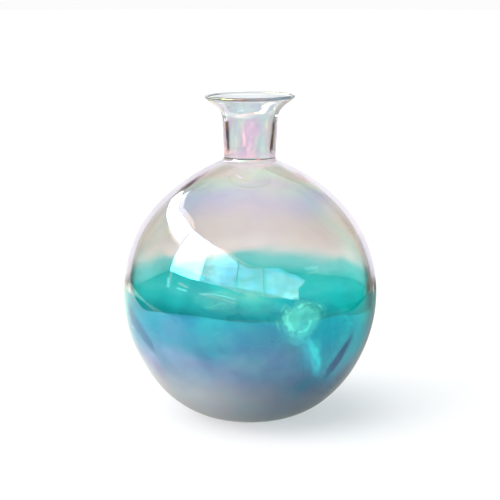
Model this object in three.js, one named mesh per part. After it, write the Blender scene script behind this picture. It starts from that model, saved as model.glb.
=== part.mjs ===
// A hand blown glass vase: a round clear globe on a small ground foot, drawn into a short neck that
// flares out to a beaded mouth. Three coats of colour lie on the inside of the wall: teal round the
// middle, blue under it and a greyish lavender cup in the heel. Millimetres, +Z up, the foot on z = 0.
import * as THREE from 'three';

// Driving dimensions.
const HEIGHT = 254;
const GLOBE_RADIUS = 100;
const EQUATOR = 97;
const WALL = 4;
const HEEL_WALL = 6;
const HEEL_SHARE = 0.3;
const SEAM_GAP = 0.3;

const FOOT_RADIUS = 29;
const FOOT_INNER_RADIUS = 22;
const KICK_HEIGHT = 3.2;
const BUTTON_RADIUS = 9;
const BUTTON_THICKNESS = 1.8;
const BUTTON_EDGE = 0.6;

const NECK_RADIUS = 20.7;
const NECK_TOP_RADIUS = 21.4;
const SHOULDER_END = new THREE.Vector2(23.2, 202.5);
const COLLAR_TOP = 206.5;
const NECK_TOP = 226;

const BEAD_RADIUS = 1.3;
const BEAD_RING_RADIUS = 34.1;
const LIP_EDGE = new THREE.Vector2(33.8, 250.7);
const LIP_EDGE_WALL = 2.2;

const COAT_GAP = 0.35;
const COAT_THICKNESS = 0.7;
const HEEL_COAT_TOP = 30;

const SEGMENTS = 48;

const point = (radius, height) => new THREE.Vector2(radius, height);

// Outside of the globe, from the foot's edge out to the equator and in again to the root of the neck.
const belly = new THREE.CubicBezierCurve(
  point(FOOT_RADIUS, 0),
  point(61.8, 4.2),
  point(GLOBE_RADIUS, 45.9),
  point(GLOBE_RADIUS, EQUATOR),
);
const shoulder = new THREE.CubicBezierCurve(
  point(GLOBE_RADIUS, EQUATOR),
  point(GLOBE_RADIUS, 145.5),
  point(71.4, 181.3),
  SHOULDER_END,
);
const globeOutside = new THREE.CurvePath();
globeOutside.add(belly);
globeOutside.add(shoulder);

// The wall is thickest at the foot and thins out over the lower part of the belly.
function wallThickness(share) {
  const thinning = Math.min(share / HEEL_SHARE, 1);
  return THREE.MathUtils.lerp(HEEL_WALL, WALL, THREE.MathUtils.smoothstep(thinning, 0, 1));
}

// The point at a share of a curve's length, moved off it to its left: into the glass for an outside
// that runs upwards.
function inside(curve, share, depth) {
  const tangent = curve.getTangent(share);
  return curve.getPoint(share).add(point(-tangent.y, tangent.x).multiplyScalar(depth));
}

function run(steps, pointAt) {
  return Array.from({ length: steps + 1 }, (_, step) => pointAt(step / steps));
}

// Turns a profile about +Z. It starts and ends on the axis, or it is a loop that closes on itself.
function turned(profile) {
  return new THREE.LatheGeometry(profile, SEGMENTS).rotateX(Math.PI / 2);
}

function piece(name, geometry, finish) {
  const mesh = new THREE.Mesh(geometry, finish);
  mesh.name = name;
  return mesh;
}

// Underside of the foot, pushed up in the middle, and the floor above it inside the globe.
const kick = new THREE.CubicBezierCurve(
  point(0, KICK_HEIGHT),
  point(10, KICK_HEIGHT),
  point(14, 0),
  point(FOOT_INNER_RADIUS, 0),
);
const wallFoot = inside(globeOutside, 0, HEEL_WALL);
const floorHeight = KICK_HEIGHT + HEEL_WALL;
const floor = new THREE.CubicBezierCurve(
  point(0, floorHeight),
  point(12, floorHeight),
  point(wallFoot.x - 8, wallFoot.y - 1),
  wallFoot,
);

// Globe: one bubble of clear glass, open at the root of the neck.
function globeWall() {
  const outerRoot = new THREE.QuadraticBezierCurve(
    SHOULDER_END,
    point(NECK_RADIUS, SHOULDER_END.y + 1.1),
    point(NECK_RADIUS, COLLAR_TOP),
  );
  const innerEnd = inside(globeOutside, 1, WALL);
  const boreRadius = NECK_RADIUS - WALL;
  const innerRoot = new THREE.QuadraticBezierCurve(
    point(boreRadius, COLLAR_TOP),
    point(boreRadius, innerEnd.y + 2.2),
    innerEnd,
  );
  const profile = [
    ...kick.getPoints(5),
    ...run(20, (share) => globeOutside.getPoint(share)),
    ...outerRoot.getPoints(3).slice(1),
    ...innerRoot.getPoints(4),
    ...run(18, (share) => inside(globeOutside, 1 - share, wallThickness(1 - share))).slice(1),
    ...floor.getPoints(5).reverse().slice(1),
  ];
  return turned(profile);
}

// Neck: a short tube, a little wider at the top than at the root.
function neckTube() {
  const bottom = COLLAR_TOP + SEAM_GAP;
  const outside = new THREE.LineCurve(point(NECK_RADIUS, bottom), point(NECK_TOP_RADIUS, NECK_TOP));
  const profile = [
    ...run(4, (share) => inside(outside, share, 0)),
    ...run(4, (share) => inside(outside, 1 - share, WALL)),
  ];
  return turned([...profile, profile[0]]);
}

// Lip: the end of the neck opened out like a trumpet, thinning towards its edge.
function flaredLip() {
  const outside = new THREE.CubicBezierCurve(
    point(NECK_TOP_RADIUS, NECK_TOP + SEAM_GAP),
    point(20.7, 248),
    point(29.3, 245.8),
    LIP_EDGE,
  );
  const steps = 8;
  const thickness = (share) => THREE.MathUtils.lerp(WALL, LIP_EDGE_WALL, share);
  const profile = [
    ...run(steps, (share) => inside(outside, share, 0)),
    ...run(steps, (share) => inside(outside, 1 - share, thickness(1 - share))),
  ];
  return turned([...profile, profile[0]]);
}

// Bead: a thread of glass melted round the edge of the lip.
function rimBead() {
  const ring = new THREE.TorusGeometry(BEAD_RING_RADIUS, BEAD_RADIUS, 12, SEGMENTS);
  return ring.translate(0, 0, HEIGHT - BEAD_RADIUS);
}

// Button: what is left of the gather that held the foot while the mouth was opened.
function pontilButton() {
  const top = kick.getPoints(12).filter((spot) => spot.x <= BUTTON_RADIUS);
  const edge = top[top.length - 1];
  const under = new THREE.QuadraticBezierCurve(
    point(edge.x, edge.y - SEAM_GAP - BUTTON_EDGE),
    point(edge.x * 0.6, KICK_HEIGHT - SEAM_GAP - BUTTON_THICKNESS),
    point(0, KICK_HEIGHT - SEAM_GAP - BUTTON_THICKNESS),
  );
  const profile = [
    ...under.getPoints(3).reverse(),
    ...top.map((spot) => point(spot.x, spot.y - SEAM_GAP)).reverse(),
  ];
  return turned(profile);
}

// The share of the globe's outside at which it reaches a height.
function shareAt(height) {
  let low = 0;
  let high = 1;
  for (let halving = 0; halving < 30; halving += 1) {
    const middle = (low + high) / 2;
    if (globeOutside.getPoint(middle).y < height) {
      low = middle;
    } else {
      high = middle;
    }
  }
  return low;
}

// The colour ends in slow waves, because it was picked up on a soft bubble that kept turning.
function tealTop(turn) {
  return 120 + 3.5 * Math.sin(2 * turn + 0.6) + 2.5 * Math.sin(3 * turn - 0.9);
}

function tealBottom(turn) {
  return 97 + 1.8 * Math.sin(turn) + 1.1 * Math.sin(3 * turn + 0.7);
}

// A thin shell against the inside of the wall, between two edges given as heights round the globe.
function coatBand(bottomEdge, topEdge, rows) {
  const loop = [
    ...run(rows, (rise) => ({ rise, depth: COAT_GAP })),
    ...run(rows, (rise) => ({ rise: 1 - rise, depth: COAT_GAP + COAT_THICKNESS })),
  ];
  const positions = [];
  const indices = [];
  for (let column = 0; column < SEGMENTS; column += 1) {
    const turn = (2 * Math.PI * column) / SEGMENTS;
    const low = shareAt(bottomEdge(turn));
    const high = shareAt(topEdge(turn));
    for (const { rise, depth } of loop) {
      const share = THREE.MathUtils.lerp(low, high, rise);
      const spot = inside(globeOutside, share, wallThickness(share) + depth);
      positions.push(spot.x * Math.cos(turn), spot.x * Math.sin(turn), spot.y);
    }
    const next = (column + 1) % SEGMENTS;
    for (let step = 0; step < loop.length; step += 1) {
      const above = (step + 1) % loop.length;
      const corner = (side, place) => side * loop.length + place;
      indices.push(corner(column, step), corner(next, step), corner(next, above));
      indices.push(corner(column, step), corner(next, above), corner(column, above));
    }
  }
  const geometry = new THREE.BufferGeometry();
  geometry.setAttribute('position', new THREE.Float32BufferAttribute(positions, 3));
  geometry.setIndex(indices);
  geometry.computeVertexNormals();
  return geometry;
}

// The lowest coat is a cup: it runs over the floor and a short way up the wall.
function heelCoat() {
  const top = shareAt(HEEL_COAT_TOP);
  const skin = (depth) => [
    ...run(4, (share) => inside(floor, share, depth)),
    ...run(5, (share) => inside(globeOutside, share * top, wallThickness(share * top) + depth)).slice(1),
  ];
  const onAxis = (spots) => [point(0, spots[0].y), ...spots.slice(1)];
  const profile = [
    ...onAxis(skin(COAT_GAP)),
    ...onAxis(skin(COAT_GAP + COAT_THICKNESS)).reverse(),
  ];
  return turned(profile);
}

function clearGlass() {
  return new THREE.MeshStandardMaterial({ color: 0xe6e2e6, roughness: 0.04, metalness: 0.1 });
}

function rimGlass() {
  return new THREE.MeshStandardMaterial({ color: 0x8fa9a8, roughness: 0.05, metalness: 0.1 });
}

function colourCoat(color) {
  return new THREE.MeshStandardMaterial({ color, roughness: 0.2, metalness: 0 });
}

const heelCoatTop = () => HEEL_COAT_TOP + COAT_GAP;
const blueTop = (turn) => tealBottom(turn) - COAT_GAP;

const vase = new THREE.Group();
vase.add(
  piece('globe_wall', globeWall(), clearGlass()),
  piece('neck_tube', neckTube(), clearGlass()),
  piece('flared_lip', flaredLip(), clearGlass()),
  piece('rim_bead', rimBead(), rimGlass()),
  piece('pontil_button', pontilButton(), clearGlass()),
  piece('teal_coat', coatBand(tealBottom, tealTop, 4), colourCoat(0x1fb3aa)),
  piece('blue_coat', coatBand(heelCoatTop, blueTop, 7), colourCoat(0x4c97b6)),
  piece('lavender_coat', heelCoat(), colourCoat(0x9b97ad)),
);

export default vase;
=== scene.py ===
"""A hand blown glass vase with a pearly lustre, dressed for its picture.

The glass is one closed outline turned about +Z. It is cut into the pieces that a maker names: the globe,
the neck, the lip and the bead round it. Three coats of colour lie on the inside of the globe's wall.
"""

import logging
import math
from dataclasses import dataclass, field
from enum import Enum
from typing import Any, Callable, Union

import bmesh
import bpy
import numpy as np
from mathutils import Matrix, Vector


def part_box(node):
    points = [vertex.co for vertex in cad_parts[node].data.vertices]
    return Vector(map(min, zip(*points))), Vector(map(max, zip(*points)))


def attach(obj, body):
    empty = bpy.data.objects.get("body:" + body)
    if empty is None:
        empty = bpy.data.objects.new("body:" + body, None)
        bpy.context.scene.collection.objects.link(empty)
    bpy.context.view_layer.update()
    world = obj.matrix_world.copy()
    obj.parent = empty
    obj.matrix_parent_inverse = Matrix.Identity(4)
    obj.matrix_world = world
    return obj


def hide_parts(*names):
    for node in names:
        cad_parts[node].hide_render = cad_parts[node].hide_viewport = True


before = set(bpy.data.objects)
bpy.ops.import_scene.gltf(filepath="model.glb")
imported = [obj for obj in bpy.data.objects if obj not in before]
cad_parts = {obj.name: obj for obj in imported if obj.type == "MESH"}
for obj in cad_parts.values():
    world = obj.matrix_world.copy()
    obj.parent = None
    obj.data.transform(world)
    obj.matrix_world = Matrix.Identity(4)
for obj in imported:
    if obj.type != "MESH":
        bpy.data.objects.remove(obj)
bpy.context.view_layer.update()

BODY = "root"
MM = 0.001

log = logging.getLogger("vase")

Colour = tuple[float, float, float]
Number = Union[float, "Signal"]

WHITE: Colour = (1.0, 1.0, 1.0)


# ---------------------------------------------------------------------------------------------
# Shader maths


class Signal:
    """A number that changes over a surface: one output socket, with arithmetic on it."""

    def __init__(self, sheet: "Sheet", socket: bpy.types.NodeSocket) -> None:
        """Wraps a socket.

        Args:
            sheet: the node sheet that the socket is on.
            socket: the output socket that carries the value.
        """
        self.sheet = sheet
        self.socket = socket

    def _maths(self, operation: str, *values: Number) -> "Signal":
        """One Math node on the given values."""
        return self.sheet.add("ShaderNodeMath", {"operation": operation}, dict(enumerate(values)))

    def __add__(self, other: Number) -> "Signal":
        """self + other."""
        return self._maths("ADD", self, other)

    __radd__ = __add__

    def __sub__(self, other: Number) -> "Signal":
        """self - other."""
        return self._maths("SUBTRACT", self, other)

    def __rsub__(self, other: Number) -> "Signal":
        """other - self."""
        return self._maths("SUBTRACT", other, self)

    def __mul__(self, other: Number) -> "Signal":
        """self * other."""
        return self._maths("MULTIPLY", self, other)

    __rmul__ = __mul__

    def __truediv__(self, other: Number) -> "Signal":
        """self / other."""
        return self._maths("DIVIDE", self, other)

    def __pow__(self, other: Number) -> "Signal":
        """self ** other."""
        return self._maths("POWER", self, other)

    def __abs__(self) -> "Signal":
        """The size of self without its sign."""
        return self._maths("ABSOLUTE", self)

    def sine(self) -> "Signal":
        """The sine of self, in radians."""
        return self._maths("SINE", self)

    def cosine(self) -> "Signal":
        """The cosine of self, in radians."""
        return self._maths("COSINE", self)

    def at_most(self, other: Number) -> "Signal":
        """The smaller of self and other."""
        return self._maths("MINIMUM", self, other)

    def at_least(self, other: Number) -> "Signal":
        """The larger of self and other."""
        return self._maths("MAXIMUM", self, other)

    def ease(self, low: float, high: float) -> "Signal":
        """Goes smoothly from 0, where self is low, to 1, where it is high.

        Args:
            low: the value that gives 0.
            high: the value that gives 1; it may be below low.

        Returns:
            The eased signal.
        """
        settings = {"interpolation_type": "SMOOTHSTEP"}
        if low < high:
            return self.sheet.add("ShaderNodeMapRange", settings, {0: self, 1: low, 2: high})
        return 1 - self.sheet.add("ShaderNodeMapRange", settings, {0: self, 1: high, 2: low})


class Sheet:
    """The node sheet of a material or of the world."""

    def __init__(self, tree: bpy.types.NodeTree) -> None:
        """Starts from an empty tree.

        Args:
            tree: the node tree to fill.
        """
        self.tree = tree
        tree.nodes.clear()

    def add(self, kind: str, settings: dict[str, Any], values: dict[Any, Any], out: Any = 0) -> Signal:
        """Adds one node.

        Args:
            kind: the node's type name.
            settings: properties to set first; "stops" are a colour ramp's positions and colours.
            values: socket names or indices with the number, colour or link that each takes.
            out: the name or index of the output to hand back.

        Returns:
            The chosen output.
        """
        node = self.tree.nodes.new(kind)
        for name, value in settings.items():
            if name == "stops":
                self._set_stops(node.color_ramp, value)
            else:
                setattr(node, name, value)
        for key, value in values.items():
            self._plug(node.inputs[key], value)
        return Signal(self, node.outputs[out])

    def _set_stops(self, ramp: bpy.types.ColorRamp, stops: list[tuple[float, Colour]]) -> None:
        """Gives a colour ramp its stops."""
        while len(ramp.elements) < len(stops):
            ramp.elements.new(1.0)
        for element, (position, colour) in zip(ramp.elements, stops):
            element.position = position
            element.color = (*colour, 1.0)

    def _plug(self, socket: bpy.types.NodeSocket, value: Any) -> None:
        """Links a signal to a socket, or sets the socket's own value."""
        if isinstance(value, Signal):
            self.tree.links.new(value.socket, socket)
        elif isinstance(value, tuple) and socket.type == "RGBA":
            socket.default_value = (*value, 1.0)
        else:
            socket.default_value = value

    def place(self) -> Signal:
        """The position on the object, in metres from the middle of the foot."""
        return self.add("ShaderNodeTexCoord", {}, {}, "Object")

    def height(self) -> Signal:
        """The height above the table, in metres."""
        return self.add("ShaderNodeSeparateXYZ", {}, {0: self.place()}, "Z")

    def turn(self) -> Signal:
        """The angle round the axis, in radians from +X."""
        split = {"X": None, "Y": None}
        for axis in split:
            split[axis] = self.add("ShaderNodeSeparateXYZ", {}, {0: self.place()}, axis)
        return self.add("ShaderNodeMath", {"operation": "ARCTAN2"}, {0: split["Y"], 1: split["X"]})

    def stretched(self, across: float, up: float) -> Signal:
        """The position with its horizontal and vertical parts scaled, for clouds that lie or stand."""
        settings = {"operation": "MULTIPLY"}
        return self.add("ShaderNodeVectorMath", settings, {0: self.place(), 1: (across, across, up)})

    def clouds(self, size: float, seed: float, detail: float = 3.0, across: float = 1.0, up: float = 1.0,
               swirl: float = 0.0) -> Signal:
        """Soft noise between 0 and 1.

        Args:
            size: the width of a cloud in metres.
            seed: picks one pattern among many.
            detail: how many finer layers lie on the first.
            across: squeezes the pattern sideways when above 1.
            up: squeezes the pattern upwards when above 1.
            swirl: how far the pattern is folded into itself.

        Returns:
            The noise value.
        """
        values = {
            "Vector": self.stretched(across, up),
            "W": seed,
            "Scale": 1 / size,
            "Detail": detail,
            "Distortion": swirl,
        }
        return self.add("ShaderNodeTexNoise", {"noise_dimensions": "4D"}, values, 0)

    def blend(self, share: Number, first: Any, second: Any, mode: str = "MIX") -> Signal:
        """Mixes two colours."""
        settings = {"data_type": "RGBA", "blend_type": mode}
        return self.add("ShaderNodeMix", settings, {0: share, 6: first, 7: second}, 2)

    def layer(self, share: Number, under: Signal, over: Signal) -> Signal:
        """Mixes two shaders: share is how much of the second one shows."""
        return self.add("ShaderNodeMixShader", {}, {0: share, 1: under, 2: over})

    def glow(self, colour: Any, strength: Signal) -> Signal:
        """Light of one colour whose strength changes over the surface."""
        light = self.add("ShaderNodeVectorMath", {"operation": "SCALE"}, {0: colour, "Scale": strength})
        return self.add("ShaderNodeEmission", {}, {"Color": light, "Strength": 1.0})

    def see_through(self, colour: Colour) -> Signal:
        """A skin that lets light straight through, tinted."""
        return self.add("ShaderNodeBsdfTransparent", {}, {"Color": colour})

    def finish(self, shader: Signal, kind: str = "ShaderNodeOutputMaterial") -> None:
        """Sends a shader to the output."""
        node = self.tree.nodes.new(kind)
        self.tree.links.new(shader.socket, node.inputs["Surface"])


def new_material(name: str) -> tuple[bpy.types.Material, Sheet]:
    """A fresh node material and its sheet."""
    material = bpy.data.materials.new(name)
    material.use_nodes = True
    return material, Sheet(material.node_tree)


# ---------------------------------------------------------------------------------------------
# Finishes


@dataclass(frozen=True)
class LustreGlass:
    """Clear glass under a film that was fumed on hot, so that it mirrors soft pearly colours.

    Film thicknesses are in nanometres. The film lies in clouds of two thicknesses on the globe and grows
    towards the neck, where it shows its second and third order of colours. Tints are what two walls leave
    of white light, given from the foot up with the heights that they lie at. Limb is the paler tint where
    the globe turns away, and edge is the tint of light that goes straight through its outermost band.
    """

    name: str = "clear_lustre_glass"
    glass_ior: float = 1.5
    film_ior: float = 1.95
    thin_film: float = 160.0
    cloud_film: float = 182.0
    shoulder_films: tuple[float, ...] = (255.0, 300.0, 322.0)
    shoulder_heights: tuple[float, ...] = (0.168, 0.182, 0.194)
    neck_film: float = 396.0
    soften: float = 0.008
    tints: tuple[tuple[float, Colour], ...] = (
        (0.020, (0.94, 0.93, 0.96)),
        (0.118, (0.95, 0.93, 0.94)),
        (0.132, (0.78, 0.67, 0.63)),
        (0.150, (0.73, 0.61, 0.56)),
        (0.164, (0.71, 0.60, 0.57)),
        (0.173, (0.60, 0.52, 0.68)),
        (0.178, (0.58, 0.55, 0.76)),
        (0.183, (0.62, 0.71, 0.76)),
        (0.188, (0.70, 0.78, 0.66)),
        (0.193, (0.86, 0.68, 0.68)),
        (0.200, (0.82, 0.82, 0.78)),
        (0.206, (0.92, 0.90, 0.93)),
    )
    limb: Colour = (0.94, 0.92, 0.90)
    edge: Colour = (0.91, 0.89, 0.94)
    lavender: Colour = (0.70, 0.68, 0.80)
    pink: Colour = (0.93, 0.80, 0.86)
    cream: Colour = (1.00, 0.93, 0.82)
    mint: Colour = (0.62, 0.75, 0.76)
    tallest: float = 0.254

    def _pane(self, sheet: Sheet, film: float, tint: Signal) -> Signal:
        """Glass under one even film."""
        values = {
            "Base Color": tint,
            "Roughness": 0.0,
            "IOR": self.glass_ior,
            "Transmission Weight": 1.0,
            "Thin Film Thickness": film,
            "Thin Film IOR": self.film_ior,
        }
        return sheet.add("ShaderNodeBsdfPrincipled", {}, values)

    def _tint(self, sheet: Sheet) -> Signal:
        """The glass's own faint colour: bands round the shoulder and upright patches in the neck."""
        broad = (sheet.clouds(0.050, 3.0, detail=2.0) - 0.5) * 0.022
        waves = broad + (sheet.clouds(0.012, 4.0) - 0.5) * 0.004
        stops = [(height / self.tallest, tint) for height, tint in self.tints]
        settings = {"stops": stops}
        bands = sheet.add("ShaderNodeValToRGB", settings, {0: (sheet.height() + waves) / self.tallest})
        away = sheet.add("ShaderNodeLayerWeight", {}, {"Blend": 0.5}, "Facing").ease(0.30, 0.54)
        bands = sheet.blend(away * sheet.height().ease(0.185, 0.168) * 0.9, bands, self.limb)
        patches = sheet.blend(sheet.clouds(0.011, 31.0, up=0.5).ease(0.42, 0.58), self.lavender, self.pink)
        patches = sheet.blend(sheet.clouds(0.008, 33.0, up=0.5).ease(0.50, 0.62), patches, self.cream)
        lip = (sheet.height() + (sheet.clouds(0.015, 35.0) - 0.5) * 0.02).ease(0.228, 0.240)
        patches = sheet.blend(lip * 0.8, patches, self.mint)
        return sheet.blend(sheet.height().ease(0.202, 0.212), bands, patches)

    def material(self) -> bpy.types.Material:
        """Builds the node material."""
        material, sheet = new_material(self.name)
        tint = self._tint(sheet)
        height = sheet.height() + (sheet.clouds(0.045, 5.0, detail=2.0) - 0.5) * 0.024
        shader = sheet.layer(
            sheet.clouds(0.040, 1.0, up=1.4).ease(0.40, 0.60),
            self._pane(sheet, self.thin_film, tint),
            self._pane(sheet, self.cloud_film, tint),
        )
        for film, start in zip(self.shoulder_films, self.shoulder_heights):
            share = height.ease(start - self.soften, start + self.soften)
            shader = sheet.layer(share, shader, self._pane(sheet, film, tint))
        patches = sheet.clouds(0.013, 37.0, detail=3.0, up=0.5).ease(0.42, 0.58)
        neck = sheet.height().ease(self.shoulder_heights[-1], self.shoulder_heights[-1] + 0.012)
        shader = sheet.layer(patches * neck, shader, self._pane(sheet, self.neck_film, tint))
        away = sheet.add("ShaderNodeLayerWeight", {}, {"Blend": 0.5}, "Facing").ease(0.66, 0.76)
        globe = sheet.height().ease(0.206, 0.200) * sheet.height().ease(0.100, 0.114)
        sheet.finish(sheet.layer(away * globe * 0.8, shader, sheet.see_through(self.edge)))
        return material


@dataclass(frozen=True)
class InnerGlass:
    """The inside of the wall, fire polished and without the lustre.

    It darkens in ragged bands up the neck where it turns away. At the very limb, and round the neck's
    root, most of the light goes straight through with the limb's tint.
    """

    name: str = "inner_glass"
    glass_ior: float = 1.5
    clear: Colour = (0.985, 0.980, 0.980)
    streak: Colour = (0.955, 0.965, 0.960)
    dark: Colour = (0.24, 0.23, 0.21)
    limb: Colour = (1.00, 0.90, 0.92)
    neck_root: float = 0.2065
    lip_root: float = 0.232

    def material(self) -> bpy.types.Material:
        """Builds the node material."""
        material, sheet = new_material(self.name)
        streaks = sheet.clouds(0.030, 12.0, across=1.0, up=0.25).ease(0.45, 0.7)
        tint = sheet.blend(streaks, self.clear, self.streak)
        away = sheet.add("ShaderNodeLayerWeight", {}, {"Blend": 0.5}, "Facing")
        ragged = away + (sheet.clouds(0.007, 14.0, up=0.5) - 0.5) * 0.07
        from_glass = sheet.add("ShaderNodeNewGeometry", {}, {}, "Backfacing")
        neck = sheet.height().ease(self.neck_root + 0.0035, self.neck_root + 0.008)
        neck = neck * sheet.height().ease(self.lip_root + 0.008, self.lip_root)
        values = {
            "Base Color": sheet.blend(ragged.ease(0.205, 0.260) * from_glass * neck, tint, self.dark),
            "Roughness": 0.0,
            "IOR": self.glass_ior,
            "Transmission Weight": 1.0,
        }
        glass = sheet.add("ShaderNodeBsdfPrincipled", {}, values)
        above = sheet.height().ease(self.neck_root - 0.006, self.neck_root)
        limb = away.ease(0.32, 0.37) * neck + away.ease(0.25, 0.30) * above * (1 - neck) * 0.72
        root = sheet.height().ease(self.neck_root - 0.010, self.neck_root - 0.006)
        root = root * sheet.height().ease(self.neck_root + 0.008, self.neck_root + 0.002) * 0.85
        straight = limb.at_least(root) * from_glass
        sheet.finish(sheet.layer(straight, glass, sheet.see_through(self.limb)))
        return material


@dataclass(frozen=True)
class RimGlass:
    """The bead of the lip, where the lustre is densest and the glass looks smoky: a painted shade, darkest on
    the side that faces the camera.
    """

    name: str = "rim_glass"
    glass_ior: float = 1.5
    film_ior: float = 1.95
    film: float = 240.0
    front_shade: Colour = (0.07, 0.12, 0.15)
    pale: Colour = (0.60, 0.68, 0.72)

    def material(self) -> bpy.types.Material:
        """Builds the node material."""
        material, sheet = new_material(self.name)
        # Painted shade: the bead is darkest on the side towards the camera, in clouds, and pale at the back.
        front = (sheet.turn() + math.pi / 2).cosine() + (sheet.clouds(0.020, 21.0) - 0.5) * 1.2
        values = {
            "Base Color": sheet.blend(front.ease(-0.1, 0.7), self.pale, self.front_shade),
            "Roughness": 0.0,
            "IOR": self.glass_ior,
            "Transmission Weight": 1.0,
            "Thin Film Thickness": self.film,
            "Thin Film IOR": self.film_ior,
        }
        sheet.finish(sheet.add("ShaderNodeBsdfPrincipled", {}, values))
        return material


@dataclass(frozen=True)
class PontilGlass:
    """The softened break under the foot: clear glass with a rippled, slightly dull face."""

    name: str = "pontil_glass"
    clear: Colour = (0.90, 0.92, 0.93)

    def material(self) -> bpy.types.Material:
        """Builds the node material."""
        material, sheet = new_material(self.name)
        ripples = sheet.clouds(0.003, 31.0, detail=4.0)
        bump = sheet.add("ShaderNodeBump", {}, {"Strength": 0.35, "Distance": 0.0004, "Height": ripples}, 0)
        values = {
            "Base Color": self.clear,
            "Roughness": ripples * 0.25 + 0.05,
            "IOR": 1.5,
            "Transmission Weight": 1.0,
            "Normal": bump,
        }
        sheet.finish(sheet.add("ShaderNodeBsdfPrincipled", {}, values))
        return material


class Band(Enum):
    """The three coats of colour, from the top down."""

    TEAL = "teal_coat"
    BLUE = "blue_coat"
    LAVENDER = "lavender_coat"


@dataclass(frozen=True)
class PaintedLightWhirl:
    """A pale whirl of painted light on a coat: an oval of curls, perhaps with a tail below it.

    Distances are in metres along the wall, from the whirl's middle.
    """

    around: float
    height: float
    wide: float
    tall: float
    fill: float
    rim: float
    curls: float
    tail: bool
    seed: float
    wall_radius: float = 0.096

    def share(self, sheet: Sheet) -> Signal:
        """How much of the whirl there is, from 0 to 1."""
        fold = (sheet.clouds(0.018, self.seed, detail=2.0) - 0.5) * 0.016
        crease = (sheet.clouds(0.007, self.seed + 1, detail=2.0) - 0.5) * 0.0016
        across = (sheet.turn() - math.radians(self.around - 90)) * self.wall_radius + fold + crease
        lift = (sheet.clouds(0.016, self.seed + 2, detail=2.0) - 0.5) * 0.014
        up = sheet.height() - self.height + lift + crease
        wide, tall = across / self.wide, up / self.tall
        reach = (wide * wide + tall * tall) ** 0.5
        uneven = sheet.clouds(0.010, self.seed + 3, detail=2.0).ease(0.35, 0.60)
        rim = abs(reach - 0.95).ease(0.16, 0.0) * (uneven * 0.7 + 0.3) * self.rim
        angle = sheet.add("ShaderNodeMath", {"operation": "ARCTAN2"}, {0: up, 1: across})
        strokes = (angle + reach * 7.5).sine().ease(0.30, 1.0) * (uneven * 0.6 + 0.4)
        body = reach.ease(1.08, 0.60) * (uneven * 0.3 + 0.7) * self.fill
        share = rim.at_least(body).at_least(strokes * reach.ease(1.08, 0.78) * self.curls)
        if self.tail:
            down = (up * -1 - self.tall) / 0.028
            centre = abs(across - (down * 0.007 + self.wide * 0.72))
            width = (1.05 - down) * 0.0065
            ends = down.ease(-0.25, 0.05) * down.ease(1.0, 0.75)
            share = share.at_least((centre / width).ease(1.0, 0.55) * ends * self.fill)
            border = abs(centre / width - 0.85).ease(0.25, 0.0) * ends * 0.8
            share = share.at_least(border * (uneven * 0.6 + 0.4))
        return share


@dataclass(frozen=True)
class Smear:
    """A long soft mark that the colour was dragged into. Angles are in degrees, distances in metres."""

    around: float
    height: float
    long: float
    wide: float
    slope: float
    dye: Colour = (0.13, 0.11, 0.27)
    strength: float = 0.9
    wall_radius: float = 0.094

    def share(self, sheet: Sheet) -> Signal:
        """How much of the mark there is, from 0 to 1."""
        up = sheet.height() - self.height
        bend = (sheet.clouds(0.020, 301.0, detail=2.0) - 0.5) * 0.012
        across = (sheet.turn() - math.radians(self.around - 90)) * self.wall_radius - up * self.slope + bend
        far, off = up / self.long, across / self.wide
        return (far * far + off * off).ease(1.0, 0.15) * self.strength


@dataclass(frozen=True)
class Level:
    """A coat at one height: its dye, its milk and how thick the milk lies in thin and full clouds."""

    height: float
    dye: Colour
    milk: Colour
    thin: float
    full: float


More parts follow.
